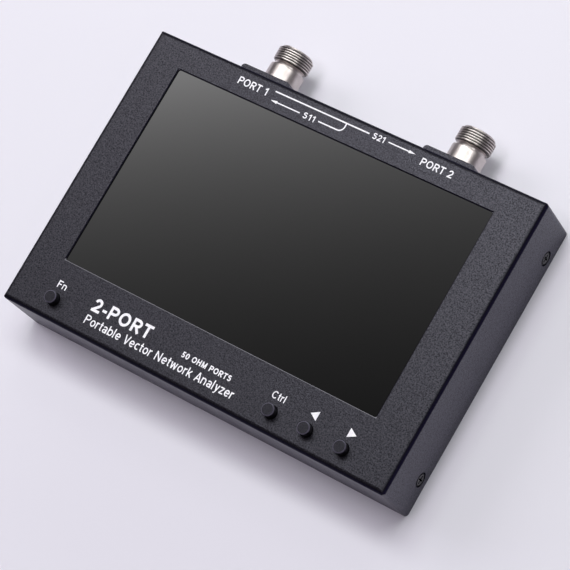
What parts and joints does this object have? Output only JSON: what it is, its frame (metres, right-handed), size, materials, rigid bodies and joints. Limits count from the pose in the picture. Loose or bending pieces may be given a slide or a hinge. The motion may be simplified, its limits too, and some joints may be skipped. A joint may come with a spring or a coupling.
{
  "type": "vector network analyzer",
  "caption": "Handheld vector network analyzer: flat dark metal case, wide touch screen, push buttons and threaded coaxial ports.",
  "frame": {"origin": "centre of the case on the back cover's outer face, which is the face it lies on", "axes": "+X to the right-hand side of the front panel, +Y towards the two coaxial ports, +Z out of the front panel"},
  "size_m": [0.1912, 0.1478, 0.0358],
  "materials": {
    "anodised_case": "fine blasted, dark grey anodised",
    "anodised_cover": "fine blasted, dark grey anodised",
    "button_metal": "satin anodised",
    "screw_steel": "dark plated",
    "screen_glass": "polished, dark with the display off",
    "lcd_laminate": "smooth",
    "white_plastic": "diffuse",
    "sheet_steel": "tinned",
    "amber_film": "satin film",
    "white_film": "satin film",
    "black_plastic": "moulded",
    "grey_plastic": "moulded",
    "circuit_board": "solder mask",
    "brass_hex": "turned",
    "nickel_plate": "bright nickel plate",
    "ptfe": "smooth",
    "gold_plate": "gold plated",
    "chip_epoxy": "moulded",
    "ivory_plastic": "moulded",
    "battery_wrap": "film wrap",
    "foam_tape": "foam",
    "wire_sleeve": "satin",
    "black_adhesive": "matte",
    "white_print": "screen-printed legends on the panel"
  },
  "bodies": {
    "case": {"front_shell": "anodised_case", "back_cover": "anodised_cover", "side_screws": "screw_steel", "screen_gasket": "black_adhesive", "touch_glass": "screen_glass", "lcd_cell": "lcd_laminate", "backlight_panel": "white_plastic", "display_tray": "sheet_steel", "display_clips": "sheet_steel", "clip_screws": "screw_steel", "display_cable": "amber_film", "touch_cable": "amber_film", "key_switches": "grey_plastic", "key_board": "circuit_board", "key_board_screws": "screw_steel", "key_cable": "white_film", "main_board": "circuit_board", "board_standoffs": "brass_hex", "board_screws": "screw_steel", "port_1_body": "nickel_plate", "port_1_insulator": "ptfe", "port_1_contact": "gold_plate", "port_1_washer": "nickel_plate", "port_1_nut": "nickel_plate", "port_2_body": "nickel_plate", "port_2_insulator": "ptfe", "port_2_contact": "gold_plate", "port_2_washer": "nickel_plate", "port_2_nut": "nickel_plate", "rf_shield_1": "sheet_steel", "rf_shield_2": "sheet_steel", "processor_chip": "chip_epoxy", "board_chips": "chip_epoxy", "board_sockets": "ivory_plastic", "battery_pack": "battery_wrap", "battery_tape": "foam_tape", "battery_lead": "wire_sleeve", "battery_plug": "ivory_plastic", "usb_socket": "sheet_steel", "power_switch_body": "sheet_steel"},
    "fn_button": {"fn_button": "button_metal", "fn_plunger": "black_plastic"},
    "ctrl_button": {"ctrl_button": "button_metal", "ctrl_plunger": "black_plastic"},
    "left_button": {"left_button": "button_metal", "left_plunger": "black_plastic"},
    "right_button": {"right_button": "button_metal", "right_plunger": "black_plastic"},
    "power_slider": {"power_slider": "black_plastic"}
  },
  "joints": [
    {"name": "fn_press", "type": "slide", "parent": "case", "child": "fn_button", "axis": [0, 0, -1], "range_m": [0, 0.0005], "stiffness_N_per_m": 2000, "springref_m": -0.0002},
    {"name": "ctrl_press", "type": "slide", "parent": "case", "child": "ctrl_button", "axis": [0, 0, -1], "range_m": [0, 0.0005], "stiffness_N_per_m": 2000, "springref_m": -0.0002},
    {"name": "left_press", "type": "slide", "parent": "case", "child": "left_button", "axis": [0, 0, -1], "range_m": [0, 0.0005], "stiffness_N_per_m": 2000, "springref_m": -0.0002},
    {"name": "right_press", "type": "slide", "parent": "case", "child": "right_button", "axis": [0, 0, -1], "range_m": [0, 0.0005], "stiffness_N_per_m": 2000, "springref_m": -0.0002},
    {"name": "power_slide", "type": "slide", "parent": "case", "child": "power_slider", "axis": [0, 1, 0], "range_m": [0, 0.003]}
  ]
}
